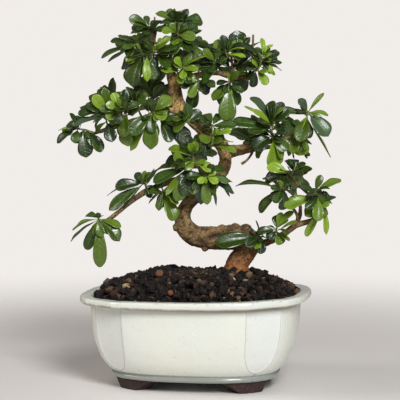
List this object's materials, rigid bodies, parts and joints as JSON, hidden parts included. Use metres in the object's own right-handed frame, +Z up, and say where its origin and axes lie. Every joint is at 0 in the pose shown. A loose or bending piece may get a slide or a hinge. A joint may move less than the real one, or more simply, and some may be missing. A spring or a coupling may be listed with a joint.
{
  "type": "potted bonsai tree",
  "caption": "Small-leaved bonsai with a bent trunk and leafy pads, planted in a mound of gritty soil in a glazed oval pot on clay feet.",
  "frame": {"origin": "middle of the model's footprint, on the surface the feet stand on", "axes": "+X along the pot's long side, -Y towards the tree's best side, +Z up"},
  "size_m": [0.2446, 0.1724, 0.3323],
  "materials": {
    "glaze": "gloss",
    "foot_clay": "matte",
    "screen": "matte",
    "wire": "satin",
    "soil": "matte",
    "clay_pellet": "matte",
    "pumice": "matte",
    "bark": "matte",
    "leaf": "satin"
  },
  "bodies": {
    "root": {"pot": "glaze", "foot_front_left": "foot_clay", "foot_front_right": "foot_clay", "foot_back_left": "foot_clay", "foot_back_right": "foot_clay", "drain_screen_left": "screen", "drain_screen_right": "screen", "screen_wire_left": "wire", "screen_wire_right": "wire", "soil": "soil", "clay_pellet_1": "clay_pellet", "clay_pellet_2": "clay_pellet", "pumice_grain_1": "pumice", "pumice_grain_2": "pumice", "trunk_and_branches": "bark", "shoot_apex_left": "leaf", "shoot_apex_hanging": "leaf", "shoot_apex_top_left": "leaf", "shoot_apex_top": "leaf", "shoot_apex_right": "leaf", "shoot_apex_rosette": "leaf", "shoot_apex_rear_left": "leaf", "shoot_apex_rear_right": "leaf", "shoot_crown_hanging": "leaf", "shoot_crown_left": "leaf", "shoot_crown_riser": "leaf", "shoot_crown_drop": "leaf", "shoot_crown_top": "leaf", "shoot_crown_tip": "leaf", "shoot_crown_rear_left": "leaf", "shoot_crown_rear_right": "leaf", "shoot_left_tip": "leaf", "shoot_left_rise": "leaf", "shoot_left_broad": "leaf", "shoot_left_inner": "leaf", "shoot_left_under": "leaf", "shoot_left_crest": "leaf", "shoot_left_rear": "leaf", "shoot_left_rear_inner": "leaf", "shoot_centre_rosette": "leaf", "shoot_centre_left": "leaf", "shoot_centre_heart": "leaf", "shoot_centre_tip": "leaf", "shoot_centre_right": "leaf", "shoot_right_fan": "leaf", "shoot_right_broad": "leaf", "shoot_right_tip": "leaf", "shoot_right_under": "leaf", "shoot_right_rear": "leaf", "shoot_right_rear_inner": "leaf", "shoot_low_rear": "leaf", "shoot_low_right_rear": "leaf", "shoot_low_right_crest": "leaf", "shoot_low_right_long": "leaf", "shoot_low_right_outer": "leaf", "shoot_low_right_knot": "leaf", "shoot_low_right_spur": "leaf", "shoot_trail_tip": "leaf", "shoot_trail_base": "leaf", "shoot_trail_inner": "leaf"}
  },
  "joints": []
}
